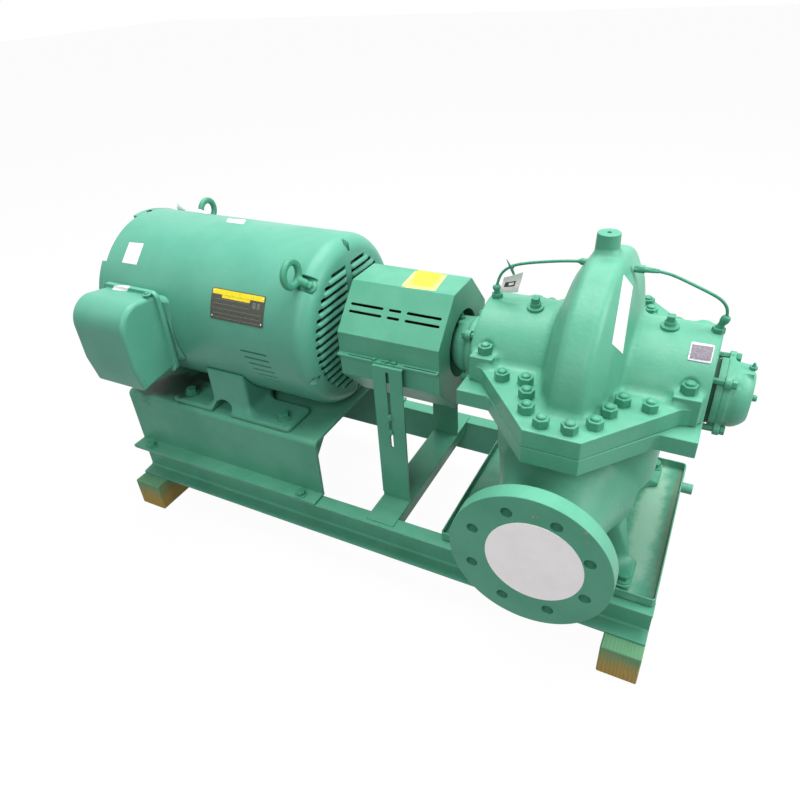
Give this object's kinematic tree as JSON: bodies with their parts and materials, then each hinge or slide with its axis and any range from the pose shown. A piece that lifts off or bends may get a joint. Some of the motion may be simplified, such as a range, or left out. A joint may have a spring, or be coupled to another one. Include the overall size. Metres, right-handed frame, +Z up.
{
  "type": "split case pump set",
  "caption": "Horizontal split case pump driven by an electric motor through a guarded coupling, on a channel base with timber skids.",
  "frame": {"origin": "on the floor, under the centre of the whole set's bounding box", "axes": "+X along the shaft from the motor to the pump's outboard bearing, -Y out of the suction flange, +Z up"},
  "size_m": [1.568, 0.826, 0.892],
  "materials": {
    "painted_casting": "satin enamel over cast iron",
    "painted_steel": "satin enamel over steel",
    "motor_paint": "satin enamel",
    "painted_fasteners": "satin enamel",
    "timber": "rough sawn, over-sprayed",
    "tubing": "satin enamel",
    "cover_film": "plain white cover",
    "coupling_rubber": "matte",
    "tag_plate": "etched plate",
    "motor_plate": "dull plate"
  },
  "bodies": {
    "root": {"bearing_end_cap": "painted_casting", "bearing_inboard": "painted_casting", "bearing_outboard": "painted_casting", "bearing_screws": "painted_fasteners", "casing_lower": "painted_casting", "casing_nuts": "painted_fasteners", "casing_upper": "painted_casting", "cheek_plugs": "painted_fasteners", "cheek_tag": "tag_plate", "coupling": "coupling_rubber", "cross_channel": "painted_steel", "drain_nipple": "painted_steel", "drip_pan": "painted_steel", "drive_end_cover": "motor_paint", "flush_fittings": "painted_fasteners", "flush_lines": "tubing", "foot_bolts": "painted_fasteners", "grease_nipples": "painted_fasteners", "guard_bolts": "painted_fasteners", "guard_ends": "painted_steel", "guard_leg_far": "painted_steel", "guard_leg_near": "painted_steel", "guard_lower": "painted_steel", "guard_upper": "painted_steel", "lifting_eyes": "painted_fasteners", "motor_body": "motor_paint", "motor_foot_far": "motor_paint", "motor_foot_near": "motor_paint", "motor_nameplate": "motor_plate", "motor_pedestal": "painted_steel", "pedestal_bolts": "painted_fasteners", "port_covers": "cover_film", "rail_front": "painted_steel", "rail_rear": "painted_steel", "rear_end_cover": "motor_paint", "terminal_box": "motor_paint", "timber_motor_end": "timber", "timber_pump_end": "timber"}
  },
  "joints": []
}
